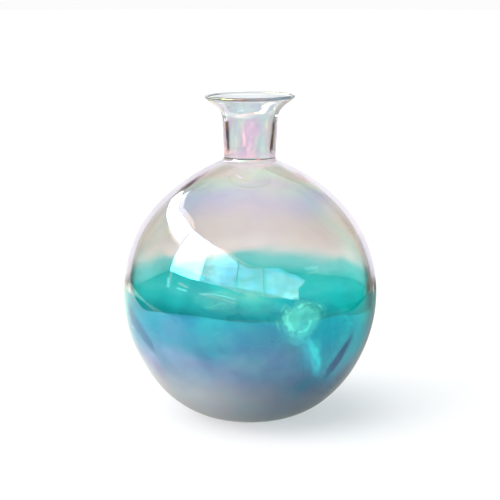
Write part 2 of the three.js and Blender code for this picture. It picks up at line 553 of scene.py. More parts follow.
@dataclass(frozen=True)
class ColourCoat:
    """Colour fused to the inside of the wall: a clear dye with thin milky clouds in it.

    Dyes are what is left of white light after one whole coat, which has two skins. Where the coat turns
    edge on, light goes a long way through it and comes out nearly black. Two pale marks of painted light lie
    on it and glow a little, and the lower coats carry a painted shade low on their right side.
    """

    band: Band
    levels: tuple[Level, ...]
    lean: float = 0.0
    lean_turn: float = 2.09
    drift: float = 0.020
    feathered: bool = False
    edge_dye: Colour = (0.0, 0.04, 0.035)
    edge_height: float = 0.1175
    # Painted shade: where it lies round the axis, its dark dye, and how much milk it takes away.
    painted_shade_turn: float = 0.35
    painted_shade_dye: Colour = (0.03, 0.32, 0.40)
    shade: float = 0.0
    seed: float = 51.0
    painted_light_whirls: tuple[PaintedLightWhirl, ...] = (
        # Painted light: the first whirl stands for light that the lip and neck focus onto the wall, the
        # second for a painted reflection of a window.
        PaintedLightWhirl(23.0, 0.094, 0.0195, 0.0165, 0.60, 0.45, 0.95, True, 91.0),
        PaintedLightWhirl(-15.0, 0.110, 0.0210, 0.0085, 0.22, 0.10, 0.35, False, 191.0),
    )
    # The colour of the whirl's painted light, and its painted glow; the coat is no lamp.
    pale: Colour = (0.20, 1.00, 0.91)
    painted_light_glow: Colour = (0.07, 0.30, 0.27)
    smears: tuple[Smear, ...] = ()

    def _dye(self, sheet: Sheet, dye: Colour) -> Signal:
        """One skin of the dye."""
        return sheet.see_through(tuple(math.sqrt(part) for part in dye))

    def _edge(self, sheet: Sheet) -> Signal:
        """How much colour there is near the wavy upper edge, from 0 above it to 1 below."""
        turn = sheet.turn()
        wave = (turn * 2 + 0.6).sine() * 0.0022 + (turn * 3 - 0.9).sine() * 0.0018
        wave = wave + (turn * 5 + 1.3).sine() * 0.0016 + (sheet.clouds(0.030, 41.0, detail=1.0) - 0.5) * 0.018
        depth = wave + self.edge_height - sheet.height()
        wisps = (sheet.clouds(0.016, 43.0, up=0.6) - 0.5) * 0.006
        return (depth + wisps).ease(-0.0035, 0.0075)

    def _height(self, sheet: Sheet) -> Signal:
        """The height that decides the colour: clouded, and leaning so that one side reads lower."""
        cloudy = (sheet.clouds(0.040, self.seed, detail=1.5, up=1.2) - 0.5) * self.drift * 2
        return sheet.height() + cloudy - (sheet.turn() + self.lean_turn).cosine() * self.lean

    def material(self) -> bpy.types.Material:
        """Builds the node material."""
        material, sheet = new_material(self.band.value)
        height = self._height(sheet)
        top = self.levels[0]
        dye, milk = self._dye(sheet, top.dye), sheet.blend(0.0, top.milk, top.milk)
        thin, full = sheet.height() * 0 + top.thin, sheet.height() * 0 + top.full
        for above, below in zip(self.levels, self.levels[1:]):
            fall = height.ease(above.height, below.height)
            dye = sheet.layer(fall, dye, self._dye(sheet, below.dye))
            milk = sheet.blend(fall, milk, below.milk)
            thin = thin + fall * (below.thin - above.thin)
            full = full + fall * (below.full - above.full)
        share = thin + sheet.clouds(0.026, self.seed + 6, detail=2.5, up=1.2).ease(0.25, 0.75) * (full - thin)
        # Painted shade: low on the right side, away from the light, the dye darkens and the milk thins.
        if self.shade:
            facing = (sheet.turn() + self.painted_shade_turn).cosine().ease(-0.3, 1.0)
            side = facing * sheet.height().ease(0.072, 0.040)
            dye = sheet.layer(side * 0.9, dye, self._dye(sheet, self.painted_shade_dye))
            share = share * (1 - side * self.shade)
        glow = sheet.blend(0.0, (0.0, 0.0, 0.0), (0.0, 0.0, 0.0))
        # Painted light: each whirl paints the coat paler and makes it glow.
        for whirl in self.painted_light_whirls:
            pale = whirl.share(sheet)
            share = share.at_least(pale)
            milk = sheet.blend((pale * 2).at_most(1.0), milk, self.pale)
            glow = sheet.blend((pale * 1.2).at_most(1.0), glow, self.painted_light_glow)
        away = sheet.add("ShaderNodeLayerWeight", {}, {"Blend": 0.5}, "Facing").ease(0.64, 0.99)
        dye = sheet.layer(away, dye, self._dye(sheet, self.edge_dye))
        for smear in self.smears:
            mark = smear.share(sheet)
            dye = sheet.layer(mark, dye, self._dye(sheet, smear.dye))
            share = share * (1 - mark * 0.8)
        # Emission carries the painted glow of the whirl's light.
        values = {"Base Color": milk, "Roughness": 0.6, "Emission Color": glow, "Emission Strength": 1.0}
        cover = sheet.add("ShaderNodeBsdfPrincipled", {}, values)
        coat = sheet.layer(share, dye, cover)
        if self.feathered:
            coat = sheet.layer(self._edge(sheet), sheet.see_through(WHITE), coat)
        sheet.finish(coat)
        return material


TEAL_LEVELS = (
    Level(0.120, (0.80, 0.99, 0.99), (0.55, 0.92, 0.92), 0.02, 0.08),
    Level(0.108, (0.27, 0.88, 0.89), (0.14, 0.78, 0.77), 0.02, 0.10),
    Level(0.093, (0.025, 0.70, 0.66), (0.01, 0.66, 0.60), 0.01, 0.06),
)
LOWER_LEVELS = (
    Level(0.092, (0.05, 0.74, 0.73), (0.03, 0.68, 0.70), 0.03, 0.12),
    Level(0.070, (0.11, 0.62, 0.74), (0.19, 0.54, 0.68), 0.15, 0.45),
    Level(0.046, (0.26, 0.50, 0.66), (0.45, 0.56, 0.76), 0.35, 0.72),
    Level(0.016, (0.32, 0.40, 0.46), (0.62, 0.67, 0.71), 0.90, 0.98),
)


def coat_finishes() -> dict[Band, ColourCoat]:
    """The recipe of each coat. The lower two share their levels, so that no line shows between them."""
    purple = (0.10, 0.07, 0.16)
    smears = (
        Smear(46.0, 0.074, 0.038, 0.0480, 0.0, (0.07, 0.92, 0.91), 0.95),
        Smear(-61.0, 0.080, 0.020, 0.0105, -1.0, (0.20, 0.18, 0.36)),
        Smear(47.0, 0.060, 0.020, 0.0075, 0.48, (0.08, 0.20, 0.32)),
        Smear(53.5, 0.062, 0.019, 0.0040, 0.50, (0.30, 0.95, 0.93), 0.7),
        Smear(76.0, 0.068, 0.026, 0.0090, 0.35, (0.20, 0.18, 0.34)),
    )
    return {
        Band.TEAL: ColourCoat(Band.TEAL, TEAL_LEVELS, drift=0.008, feathered=True),
        Band.BLUE: ColourCoat(
            Band.BLUE, LOWER_LEVELS, lean=0.013, edge_dye=purple, shade=0.75, smears=smears
        ),
        Band.LAVENDER: ColourCoat(Band.LAVENDER, LOWER_LEVELS, lean=0.013, edge_dye=purple, shade=0.75),
    }


# ---------------------------------------------------------------------------------------------
# The outline of the glass


@dataclass(frozen=True)
class Bend:
    """A smooth bend in the outline: a cubic curve through two end points with two handles, in mm."""

    start: tuple[float, float]
    near: tuple[float, float]
    far: tuple[float, float]
    end: tuple[float, float]

    def points(self, count: int) -> np.ndarray:
        """Points along the bend, in metres.

        Args:
            count: how many points, ends included.

        Returns:
            An array of radius and height.
        """
        t = np.linspace(0.0, 1.0, count)[:, None]
        corners = [np.array(corner) * MM for corner in (self.start, self.near, self.far, self.end)]
        weights = ((1 - t) ** 3, 3 * (1 - t) ** 2 * t, 3 * (1 - t) * t**2, t**3)
        return sum(weight * corner for weight, corner in zip(weights, corners))


def rightward(points: np.ndarray) -> np.ndarray:
    """Unit normals to the right of a run of points: out of the glass on this outline."""
    along = np.gradient(points, axis=0)
    along /= np.linalg.norm(along, axis=1)[:, None]
    return np.stack([along[:, 1], -along[:, 0]], axis=1)


@dataclass(frozen=True)
class Ripple:
    """One slow wave in the hand worked surface: a height in mm, lobes round the axis, a length in mm."""

    height: float
    lobes: int
    length: float
    phase: float

    def lift(self, turn: np.ndarray, run: np.ndarray) -> np.ndarray:
        """How far the wave lifts the surface, in metres."""
        along = 2 * math.pi * run / (self.length * MM)
        return self.height * MM * np.sin(self.lobes * turn + self.phase + along)


@dataclass
class GlassOutline:
    """The closed outline of the whole vase, from the underside of the foot round to the floor inside.

    Sizes are in mm and follow the frame. The outline runs up the outside, over the bead and down the
    inside, so that the glass is always on its left.
    """

    foot_radius: float = 29.0
    foot_inner: float = 22.0
    kick: float = 3.2
    heel_wall: float = 6.0
    wall: float = 4.0
    heel_share: float = 0.3
    waist: float = 20.6
    neck_top_radius: float = 21.4
    collar: float = 206.65
    neck_top: float = 226.15
    bead_radius: float = 1.3
    bead_ring: float = 34.1
    lip_edge: tuple[float, float] = (33.8, 250.7)
    lip_wall: float = 2.2
    rim_tilt: float = 0.010
    ripples: tuple[Ripple, ...] = (
        Ripple(0.16, 2, 190.0, 0.4),
        Ripple(0.11, 3, -83.0, 2.1),
        Ripple(0.09, 4, 61.0, 4.4),
        Ripple(0.05, 7, -47.0, 1.2),
        Ripple(0.04, 1, 38.0, 5.0),
    )
    spots: dict[str, tuple[float, float]] = field(default_factory=dict)

    def __post_init__(self) -> None:
        """Lays the outline and notes where each stretch starts and ends."""
        self.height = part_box("rim_bead")[1][2] / MM
        self.globe_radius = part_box("globe_wall")[1][0] / MM
        self._lay()

    def _globe_outside(self) -> np.ndarray:
        """The outside of the globe, from the foot's edge to the root of the neck."""
        wide = self.globe_radius
        belly = Bend((self.foot_radius, 0.0), (61.8, 4.2), (wide, 45.9), (wide, 97.0))
        shoulder = Bend((wide, 97.0), (wide, 145.5), (71.4, 181.3), (23.2, 202.5))
        return np.concatenate([belly.points(500), shoulder.points(500)[1:]])

    def _wall_at(self, count: int) -> np.ndarray:
        """The wall's thickness along the globe's outside, thicker at the heel, in metres."""
        share = np.clip(np.linspace(0.0, 1.0, count) / self.heel_share, 0.0, 1.0)
        eased = share * share * (3 - 2 * share)
        return (self.heel_wall + (self.wall - self.heel_wall) * eased) * MM

    def _lay(self) -> None:
        """Joins the stretches into one run and measures along it."""
        outside = self._globe_outside()
        inside = outside - rightward(outside) * self._wall_at(len(outside))[:, None]
        root = Bend((23.2, 202.5), (21.6, 203.2), (self.waist, 204.0), (self.waist, self.collar)).points(60)
        top = (self.neck_top_radius, self.neck_top)
        under_top = (top[0] - 0.2, top[1] - 6.0)
        neck = Bend((self.waist, self.collar), (self.waist, 213.0), under_top, top).points(120)
        lip = Bend(top, (top[0] + 0.52, top[1] + 15.6), (21.3, 241.7), self.lip_edge).points(300)
        neck_inside = neck - rightward(neck) * self.wall * MM
        lip_wall = np.linspace(self.wall, self.lip_wall, len(lip)) * MM
        lip_inside = lip - rightward(lip) * lip_wall[:, None]
        bore, edge = neck_inside[0] / MM, inside[-1] / MM
        root_inside = Bend(tuple(bore), (bore[0], bore[1] - 3.6), (edge[0] - 3.2, edge[1] + 1.4), tuple(edge))
        around = np.radians(np.linspace(-75.0, 165.0, 120))
        centre = np.array([self.bead_ring, self.height - self.bead_radius])
        bead = (centre + self.bead_radius * np.stack([np.cos(around), np.sin(around)], axis=1)) * MM
        foot = inside[0] / MM
        floor = self.kick + self.heel_wall
        stretches = {
            "kick": Bend(
                (0.0, self.kick), (10.0, self.kick), (14.0, 0.0), (self.foot_inner, 0.0)
            ).points(120),
            "foot": np.linspace((self.foot_inner * MM, 0.0), (self.foot_radius * MM, 0.0), 40),
            "globe": outside,
            "root": root,
            "neck": neck,
            "lip": lip,
            "bead": bead,
            "lip_inside": lip_inside[::-1],
            "neck_inside": neck_inside[::-1],
            "root_inside": root_inside.points(80),
            "globe_inside": inside[::-1],
            "floor": Bend(
                tuple(foot), (foot[0] - 8.0, foot[1] - 1.0), (12.0, floor), (0.0, floor)
            ).points(160),
        }
        run = []
        for name, points in stretches.items():
            first = sum(len(part) for part in run)
            run.append(points)
            self.spots[name] = (first, first + len(points) - 1)
        path = np.concatenate(run)
        step = np.linalg.norm(np.diff(path, axis=0), axis=1)
        keep = np.concatenate([[True], step > 1e-7])
        length = np.concatenate([[0.0], np.cumsum(step)])
        self.spots = {name: (length[a], length[b]) for name, (a, b) in self.spots.items()}
        path, length = path[keep], length[keep]
        even = np.linspace(0.0, length[-1], 12000)
        self.length = even
        self.path = np.stack([np.interp(even, length, path[:, part]) for part in (0, 1)], axis=1)
        self.normal = rightward(self.path)

    def run_at_height(self, height: np.ndarray) -> np.ndarray:
        """Where the inside of the globe is at a height.

        Args:
            height: heights in metres, all between the floor and the root of the neck.

        Returns:
            The lengths along the outline.
        """
        first, last = self.spots["globe_inside"]
        inside = (self.length >= first) & (self.length <= last)
        down = self.path[inside, 1][::-1]
        return np.interp(height, down, self.length[inside][::-1])

    def _calm(self, run: np.ndarray) -> np.ndarray:
        """How much of the ripple is left: none on the foot and the floor, little on the lip."""
        start = self.spots["globe"][0]
        end = self.spots["globe_inside"][1]
        rise = np.clip((run - start) / 0.045, 0.0, 1.0) * np.clip((end - run) / 0.045, 0.0, 1.0)
        middle = (self.spots["lip"][0] + self.spots["neck_inside"][0]) / 2
        near_lip = np.exp(-(((run - middle) / 0.045) ** 2))
        return rise * rise * (3 - 2 * rise) * (1 - 0.7 * near_lip)

    def surface(self, turn: np.ndarray, run: np.ndarray, lift: float = 0.0) -> np.ndarray:
        """Points on the glass, or a little way off it.

        Args:
            turn: angles round the axis, in radians.
            run: lengths along the outline, in metres, of the same shape.
            lift: how far off the glass, in metres.

        Returns:
            Positions, with a last axis of three.
        """
        spot = [np.interp(run, self.length, self.path[:, part]) for part in (0, 1)]
        away = [np.interp(run, self.length, self.normal[:, part]) for part in (0, 1)]
        ripple = sum(wave.lift(turn, run) for wave in self.ripples) * self._calm(run) + lift
        radius = spot[0] + away[0] * ripple
        height = spot[1] + away[1] * ripple
        lean = np.clip((spot[1] - 0.200) / 0.050, 0.0, 1.0) * self.rim_tilt
        height = height + lean * lean / self.rim_tilt * radius * np.cos(turn)
        return np.stack([radius * np.cos(turn), radius * np.sin(turn), height], axis=-1)

    def normals(self, turn: np.ndarray, run: np.ndarray) -> np.ndarray:
        """Unit normals out of the glass, by small steps round the axis and along the outline."""
        small = 2e-5
        end = self.length[-1]
        further, nearer = np.clip(run + small, 0.0, end), np.clip(run - small, 0.0, end)
        ahead = self.surface(turn, further) - self.surface(turn, nearer)
        round_axis = self.surface(turn + 1e-3, run) - self.surface(turn - 1e-3, run)
        normal = np.cross(round_axis, ahead)
        size = np.linalg.norm(normal, axis=-1, keepdims=True)
        upright = np.zeros_like(normal)
        upright[..., 2] = np.where(run > end / 2, 1.0, -1.0)
        return np.where(size > 1e-12, normal / np.maximum(size, 1e-12), upright)


# ---------------------------------------------------------------------------------------------
# Meshes


@dataclass
class Skins:
    """Gathers grids of points into one mesh, each grid a skin with its own material."""

    columns: int = 192
    points: list[np.ndarray] = field(default_factory=list)
    normals: list[np.ndarray] = field(default_factory=list)
    faces: list[tuple[int, ...]] = field(default_factory=list)
    marks: list[int] = field(default_factory=list)

    def add(self, outline: GlassOutline, runs: np.ndarray, mark: int) -> None:
        """Adds a skin of the glass between two places on the outline.

        Args:
            outline: the outline that is turned.
            runs: lengths along it, one for each row.
            mark: which of the mesh's materials it takes.
        """
        first = sum(len(part) for part in self.points)
        turns = np.arange(self.columns) * (2 * math.pi / self.columns)
        turn, run = np.meshgrid(turns, runs)
        self.points.append(outline.surface(turn, run).reshape(-1, 3))
        self.normals.append(outline.normals(turn, run).reshape(-1, 3))
        for row in range(len(runs) - 1):
            for column in range(self.columns):
                side = (column + 1) % self.columns
                low, high = first + row * self.columns, first + (row + 1) * self.columns
                self.faces.append((low + column, low + side, high + side, high + column))
                self.marks.append(mark)

    def mesh(self, name: str) -> bpy.types.Mesh:
        """Makes the mesh, smooth, with the outline's own normals. Points that meet on the axis are joined."""
        points = np.concatenate(self.points)
        normals = np.concatenate(self.normals)
        on_axis = np.hypot(points[:, 0], points[:, 1]) < 1e-6
        target = np.arange(len(points))
        for high in (True, False):
            pole = np.flatnonzero(on_axis & ((normals[:, 2] > 0) == high))
            if len(pole):
                target[pole] = pole[0]
        kept, index = np.unique(target, return_inverse=True)
        faces = []
        for face in self.faces:
            corners = list(dict.fromkeys(int(index[corner]) for corner in face))
            faces.append(tuple(corners))
        mesh = bpy.data.meshes.new(name)
        mesh.from_pydata(points[kept].tolist(), [], faces)
        mesh.polygons.foreach_set("material_index", np.array(self.marks, dtype=np.int32))
        mesh.polygons.foreach_set("use_smooth", np.ones(len(faces), dtype=bool))
        mesh.normals_split_custom_set_from_vertices(normals[kept].tolist())
        mesh.update()
        return mesh


def show(name: str, mesh: bpy.types.Mesh, finishes: list[bpy.types.Material], node: str) -> bpy.types.Object:
    """Puts a piece into the scene in place of its CAD node.

    Args:
        name: the piece's name.
        mesh: its mesh, in metres in the frame.
        finishes: its materials, in the order of the mesh's material indices.
        node: the CAD node that it stands for.

    Returns:
        The new object.
    """
    for finish in finishes:
        mesh.materials.append(finish)
    piece = bpy.data.objects.new(name, mesh)
    bpy.context.scene.collection.objects.link(piece)
    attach(piece, BODY)
    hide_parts(node)
    log.info("%s: %d points, %d faces", name, len(mesh.vertices), len(mesh.polygons))
    return piece


@dataclass
class GlassPiece:
    """One piece of the clear glass: the skins between named places on the outline."""

    name: str
    node: str
    slot: str
    outer: tuple[str, ...]
    inner: tuple[str, ...]
    spacing: float

    def _runs(self, outline: GlassOutline, stretches: tuple[str, ...]) -> np.ndarray:
        """Even rows along some neighbouring stretches, with a row at each place where two of them meet."""
        rows = [np.array([outline.spots[stretches[0]][0]])]
        for stretch in stretches:
            first, last = outline.spots[stretch]
            count = max(2, round((last - first) / self.spacing))
            rows.append(np.linspace(first, last, count + 1)[1:])
        return np.concatenate(rows)

    def build(self, outline: GlassOutline, outside: bpy.types.Material,
              inside: bpy.types.Material) -> bpy.types.Object:
        """Builds the piece.

        Args:
            outline: the outline that is turned.
            outside: the finish of the skin that faces out.
            inside: the finish of the skin that faces the hollow.

        Returns:
            The new object.
        """
        skins = Skins()
        skins.add(outline, self._runs(outline, self.outer), 0)
        if self.inner:
            skins.add(outline, self._runs(outline, self.inner), 1)
        finishes = [outside, inside] if self.inner else [outside]
        piece = show(self.name, skins.mesh(self.name), finishes, self.node)
        piece.visible_shadow = False
        return piece


@dataclass
class CoatPiece:
    """A coat of colour: a thin closed shell on the inside of the wall, between two wavy edges."""

    band: Band
    slot: str
    bottom: Callable[[np.ndarray], np.ndarray]
    top: Callable[[np.ndarray], np.ndarray]
    rows: int
    clearance: float = 0.00005
    thickness: float = 0.0004
    columns: int = 160

    def build(self, outline: GlassOutline, finish: bpy.types.Material) -> bpy.types.Object:
        """Builds the shell.

        Args:
            outline: the outline of the glass that it lies on.
            finish: its material.

        Returns:
            The new object.
        """
        turns = np.arange(self.columns) * (2 * math.pi / self.columns)
        high = outline.run_at_height(self.top(turns))
        low = outline.run_at_height(self.bottom(turns))
        share = np.linspace(0.0, 1.0, self.rows + 1)[:, None]
        runs = high + (low - high) * share
        turn = np.broadcast_to(turns, runs.shape)
        near = outline.surface(turn, runs, self.clearance)
        far = outline.surface(turn, runs, self.clearance + self.thickness)[::-1]
        loop = np.concatenate([near, far])
        count = len(loop)
        faces = []
        for row in range(count):
            below = (row + 1) % count
            for column in range(self.columns):
                side = (column + 1) % self.columns
                faces.append((row * self.columns + column, below * self.columns + column,
                              below * self.columns + side, row * self.columns + side))
        return self._show(loop.reshape(-1, 3), faces, finish)

    def _show(self, points: np.ndarray, faces: list[tuple[int, ...]],
              finish: bpy.types.Material) -> bpy.types.Object:
        """Makes the mesh, smooth but for its two edges, and shows it."""
        mesh = bpy.data.meshes.new(self.band.value)
        mesh.from_pydata(points.tolist(), [], faces)
        mesh.polygons.foreach_set("use_smooth", np.ones(len(faces), dtype=bool))
        mesh.set_sharp_from_angle(angle=math.radians(40))
        return show(self.band.value, mesh, [finish], self.band.value)


@dataclass
class HeelCup(CoatPiece):
    """The lowest coat: a cup that closes over the middle of the floor."""

    def build(self, outline: GlassOutline, finish: bpy.types.Material) -> bpy.types.Object:
        """Builds the cup.

        Args:
            outline: the outline of the glass that it lies on.
            finish: its material.

        Returns:
            The new object.
        """
        turns = np.arange(self.columns) * (2 * math.pi / self.columns)
        high = outline.run_at_height(self.top(turns))
        low = outline.length[-1] - 0.0004
        share = np.linspace(0.0, 1.0, self.rows + 1)[:, None]
        runs = high + (low - high) * share
        turn = np.broadcast_to(turns, runs.shape)
        near = outline.surface(turn, runs, self.clearance)
        far = outline.surface(turn, runs, self.clearance + self.thickness)
        points = np.concatenate([near.reshape(-1, 3), far.reshape(-1, 3)])
        size = near.shape[0] * self.columns
        middle = [near[-1].mean(axis=0), far[-1].mean(axis=0)]
        points = np.concatenate([points, np.array(middle)])
        faces = []
        for column in range(self.columns):
            side = (column + 1) % self.columns
            for row in range(self.rows):
                above, below = row * self.columns, (row + 1) * self.columns
                faces.append((above + column, below + column, below + side, above + side))
                faces.append((size + above + side, size + below + side, size + below + column,
                              size + above + column))
            last = self.rows * self.columns
            faces.append((last + column, 2 * size, last + side))
            faces.append((size + last + side, 2 * size + 1, size + last + column))
            faces.append((column, side, size + side, size + column))
        return self._show(points, faces, finish)


@dataclass
class PontilButton:
    """What is left of the gather that held the foot: a low rough mound in the middle of the underside."""

    name: str = "pontil_button"
    columns: int = 96
    rings: int = 24
    clearance: float = 0.00005

    def build(self, outline: GlassOutline, finish: bpy.types.Material) -> bpy.types.Object:
        """Builds the mound, with a torn, softened face.

        Args:
            outline: the outline of the glass that it hangs from.
            finish: its material.

        Returns:
            The new object.
        """
        low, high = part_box(self.name)
        radius = high[0]
        share = np.linspace(0.0, 1.0, self.rings + 1)[1:, None]
        turns = np.arange(self.columns) * (2 * math.pi / self.columns)
        reach = radius * (1 - 0.05 * np.sin(3 * turns + 0.5) ** 2 - 0.03 * np.sin(7 * turns) ** 2)
        ring = share * reach
        turn = np.broadcast_to(turns, ring.shape)
        kick = outline.path[outline.length < outline.spots["kick"][1]]
        roof = np.interp(ring, kick[:, 0], kick[:, 1]) - self.clearance
        depth = (high[2] - low[2]) * 0.75 * (1 - share**2) ** 0.6
        ridges = np.sin(5 * turn + 40 * share) * np.sin(math.pi * share)
        torn = 0.00015 * ridges * (1 + 0.5 * np.sin(2 * turn))
        face = roof - depth - torn * (share < 0.999)
        top = np.stack([ring * np.cos(turn), ring * np.sin(turn), roof], axis=-1).reshape(-1, 3)
        under = np.stack([ring * np.cos(turn), ring * np.sin(turn), face], axis=-1)[:-1].reshape(-1, 3)
        middle = np.array([[0.0, 0.0, kick[0, 1] - self.clearance],
                           [0.0, 0.0, kick[0, 1] - self.clearance - 0.75 * (high[2] - low[2])]])
        points = np.concatenate([top, under, middle])
        return self._show(points, finish)

    def _show(self, points: np.ndarray, finish: bpy.types.Material) -> bpy.types.Object:
        """Joins the two faces at the rim and shows the piece."""
        size = self.rings * self.columns
        rim = (self.rings - 1) * self.columns
        pole = len(points) - 2
        faces = []
        for column in range(self.columns):
            side = (column + 1) % self.columns
            faces.append((pole, column, side))
            faces.append((pole + 1, size + side, size + column))
            for row in range(self.rings - 1):
                near, far = row * self.columns, (row + 1) * self.columns
                faces.append((near + column, far + column, far + side, near + side))
                outer = [size + far + side, size + far + column]
                if far == rim:
                    outer = [rim + side, rim + column]
                faces.append((size + near + column, size + near + side, *outer))
        mesh = bpy.data.meshes.new(self.name)
        mesh.from_pydata(points.tolist(), [], faces)
        mesh.polygons.foreach_set("use_smooth", np.ones(len(faces), dtype=bool))
        mesh.set_sharp_from_angle(angle=math.radians(50))
        return show(self.name, mesh, [finish], self.name)


@dataclass
class Vase:
    """The whole vase."""

    ring_height: float = 0.097
    side_lap: float = 0.0085
    tuck: float = 0.45
    coat_reach: float = 0.150
    heel_top: float = 0.030
    seam: float = 0.00003
    sunk: float = -0.0008

    def ring(self, turns: np.ndarray) -> np.ndarray:
        """The height of the line between the teal and the blue coat."""
        return self.ring_height + 0.0018 * np.sin(turns) + 0.0011 * np.sin(3 * turns + 0.7)

    def blue_top(self, turns: np.ndarray) -> np.ndarray:
        """The blue's upper edge: the ring, which laps over the teal where it runs round to the two sides."""
        share = np.clip((np.abs(np.cos(turns)) - 0.68) / 0.21, 0.0, 1.0)
        share = share * np.clip((0.10 - np.sin(turns)) / 0.20, 0.0, 1.0)
        return self.ring(turns) + self.side_lap * share * share * (3 - 2 * share)

    def teal_bottom(self, turns: np.ndarray) -> np.ndarray:
        """The teal's lower edge: just above the ring, and tucked under the blue where that laps over it."""
        return self.ring(turns) + self.seam - (self.blue_top(turns) - self.ring(turns)) * self.tuck

    def heel(self, turns: np.ndarray) -> np.ndarray:
        """The height of the line between the blue coat and the lavender cup."""
        return np.full_like(turns, self.heel_top)

    def build_glass(self, outline: GlassOutline) -> None:
        """Builds the four pieces of clear glass."""
        lustre = LustreGlass().material()
        inner = InnerGlass().material()
        rim = RimGlass().material()
        slot = "clear_lustre_glass"
        GlassPiece("globe_wall", "globe_wall", slot, ("kick", "foot", "globe", "root"),
                   ("root_inside", "globe_inside", "floor"), 0.0022).build(outline, lustre, inner)
        neck = GlassPiece("neck_tube", "neck_tube", slot, ("neck",), ("neck_inside",), 0.0010)
        neck.build(outline, lustre, inner)
        lip = GlassPiece("flared_lip", "flared_lip", slot, ("lip",), ("lip_inside",), 0.0008)
        lip.build(outline, lustre, inner)
        GlassPiece("rim_bead", "rim_bead", "rim_glass", ("bead",), (), 0.00025).build(outline, rim, rim)

    def build_colour(self, outline: GlassOutline) -> None:
        """Builds the three coats of colour."""
        recipes = coat_finishes()
        reach = self.coat_reach
        pieces = [
            CoatPiece(Band.TEAL, "teal_colour", self.teal_bottom,
                      lambda turns: np.full_like(turns, reach), 40),
            CoatPiece(Band.BLUE, "blue_colour", lambda turns: self.heel(turns) + self.seam, self.blue_top, 48,
                      clearance=self.sunk),
            HeelCup(Band.LAVENDER, "lavender_colour", self.heel, self.heel, 40, clearance=self.sunk),
        ]
        for piece in pieces:
            piece.build(outline, recipes[piece.band].material())

    def build(self) -> None:
        """Builds every piece."""
        outline = GlassOutline()
        self.build_glass(outline)
        self.build_colour(outline)
        PontilButton().build(outline, PontilGlass().material())


# ---------------------------------------------------------------------------------------------
# The studio


@dataclass(frozen=True)
class Pane:
    """A glowing pane that only the glass mirrors, like a window of the room that the vase stands in.

    Its corners are directions from the vase, in degrees: the angle round the axis, where 0 is towards the
    camera and 90 is to the right, and the rise above the horizon.
    """

    name: str
    corners: tuple[tuple[float, float], ...]
    low_glow: float
    high_glow: float
    low_colour: Colour = WHITE
    high_colour: Colour = WHITE
    clouds: float = 0.0
    distance: float = 2.2
    centre_height: float = 0.11

    def _glow(self) -> bpy.types.Material:
        """Light that fades from the pane's foot to its head, with soft clouds in it."""
        material, sheet = new_material(self.name)
        rises = [math.sin(math.radians(rise)) * self.distance for _, rise in self.corners]
        share = sheet.height().ease(min(rises) + self.centre_height, max(rises) + self.centre_height)
        cloud = sheet.clouds(0.35, 81.0, detail=4.0, up=2.0).ease(0.35, 0.65) * self.clouds
        colour = sheet.blend(share, self.low_colour, self.high_colour)
        colour = sheet.blend(cloud * 0.6, colour, (1.0, 0.88, 0.80))
        strength = (share * (self.high_glow - self.low_glow) + self.low_glow) * (1 + cloud * 0.35)
        glow = sheet.glow(colour, strength)
        sheet.finish(sheet.layer(mirrored_share(sheet), sheet.see_through(WHITE), glow))
        return material

    def build(self) -> None:
        """Hangs the pane."""
        points = []
        for around, rise in self.corners:
            turn, lift = math.radians(around), math.radians(rise)
            away = Vector((math.sin(turn) * math.cos(lift), -math.cos(turn) * math.cos(lift), math.sin(lift)))
            points.append(away * self.distance + Vector((0.0, 0.0, self.centre_height)))
        mesh = bpy.data.meshes.new(self.name)
        mesh.from_pydata([tuple(point) for point in points], [], [tuple(range(len(points)))])
        sheet = bmesh.new()
        sheet.from_mesh(mesh)
        bmesh.ops.triangulate(sheet, faces=sheet.faces[:])
        sheet.to_mesh(mesh)
        sheet.free()
        mesh.materials.append(self._glow())
        pane = bpy.data.objects.new(self.name, mesh)
        pane.visible_camera = False
        pane.visible_shadow = False
        pane.visible_diffuse = False
        bpy.context.scene.collection.objects.link(pane)


def mirrored_share(sheet: Sheet) -> Signal:
    """1 for light that some glass has mirrored on its way, and 0 for light that only went through."""
    return sheet.add("ShaderNodeLightPath", {}, {}, "Glossy Depth").at_most(1.0)


SKY: Colour = (1.0, 0.22, 0.24)
HAZE: Colour = (1.0, 0.42, 0.28)

ROOM_PANES = (
    Pane("rear_left_pane",
         ((-150, 21), (-150, 27), (-122, 38), (-97, 46), (-84, 46.5), (-84, 34), (-120, 31)), 9.0, 9.0),
    Pane("left_pane", ((-83, 46.5), (-62, 46.5), (-47, 44.5), (-47, 18), (-60, 18), (-79, 17)), 16.0, 16.0,
         clouds=0.5),
    Pane("sky_pane",
         ((-47, 44.5), (-28, 41.5), (-20, 38), (-12.5, 33.5), (-12.5, 14), (-28, 15.5), (-47, 18)),
         3.6, 6.0, SKY, HAZE, clouds=0.8),
    Pane("middle_pane", ((-11.5, 33), (0, 29), (12.5, 27.8), (12.5, 9), (0, 11), (-11.5, 14)),
         3.4, 4.0, HAZE, HAZE, clouds=0.7),
    Pane("right_pane", ((13.5, 27.7), (28, 26), (36, 22), (45, 18), (51, 14.5), (48, 12.5), (43, 9), (43, 1),
                        (36, 2), (30, 4), (13.5, 9)), 4.0, 3.6, HAZE, HAZE, clouds=0.6),
    Pane("shop_lamp", ((53, 23), (68, 21.5), (67, 19.5), (55, 20.5)), 2.4, 2.4, HAZE, HAZE),
    Pane("door_light", ((-80, 12), (-77, 12), (-76, 5), (-79, 5)), 4.0, 4.0, HAZE, HAZE),
    Pane("shelf_light", ((-67, 8), (-57, 7.5), (-57, 6), (-68, 6)), 4.0, 4.0, HAZE, HAZE),
    Pane("ledge", ((-44, 6.5), (-30, 7.5), (-12, 4), (-12, 3), (-30, 6), (-44, 5)), 3.0, 3.0, HAZE, HAZE),
)


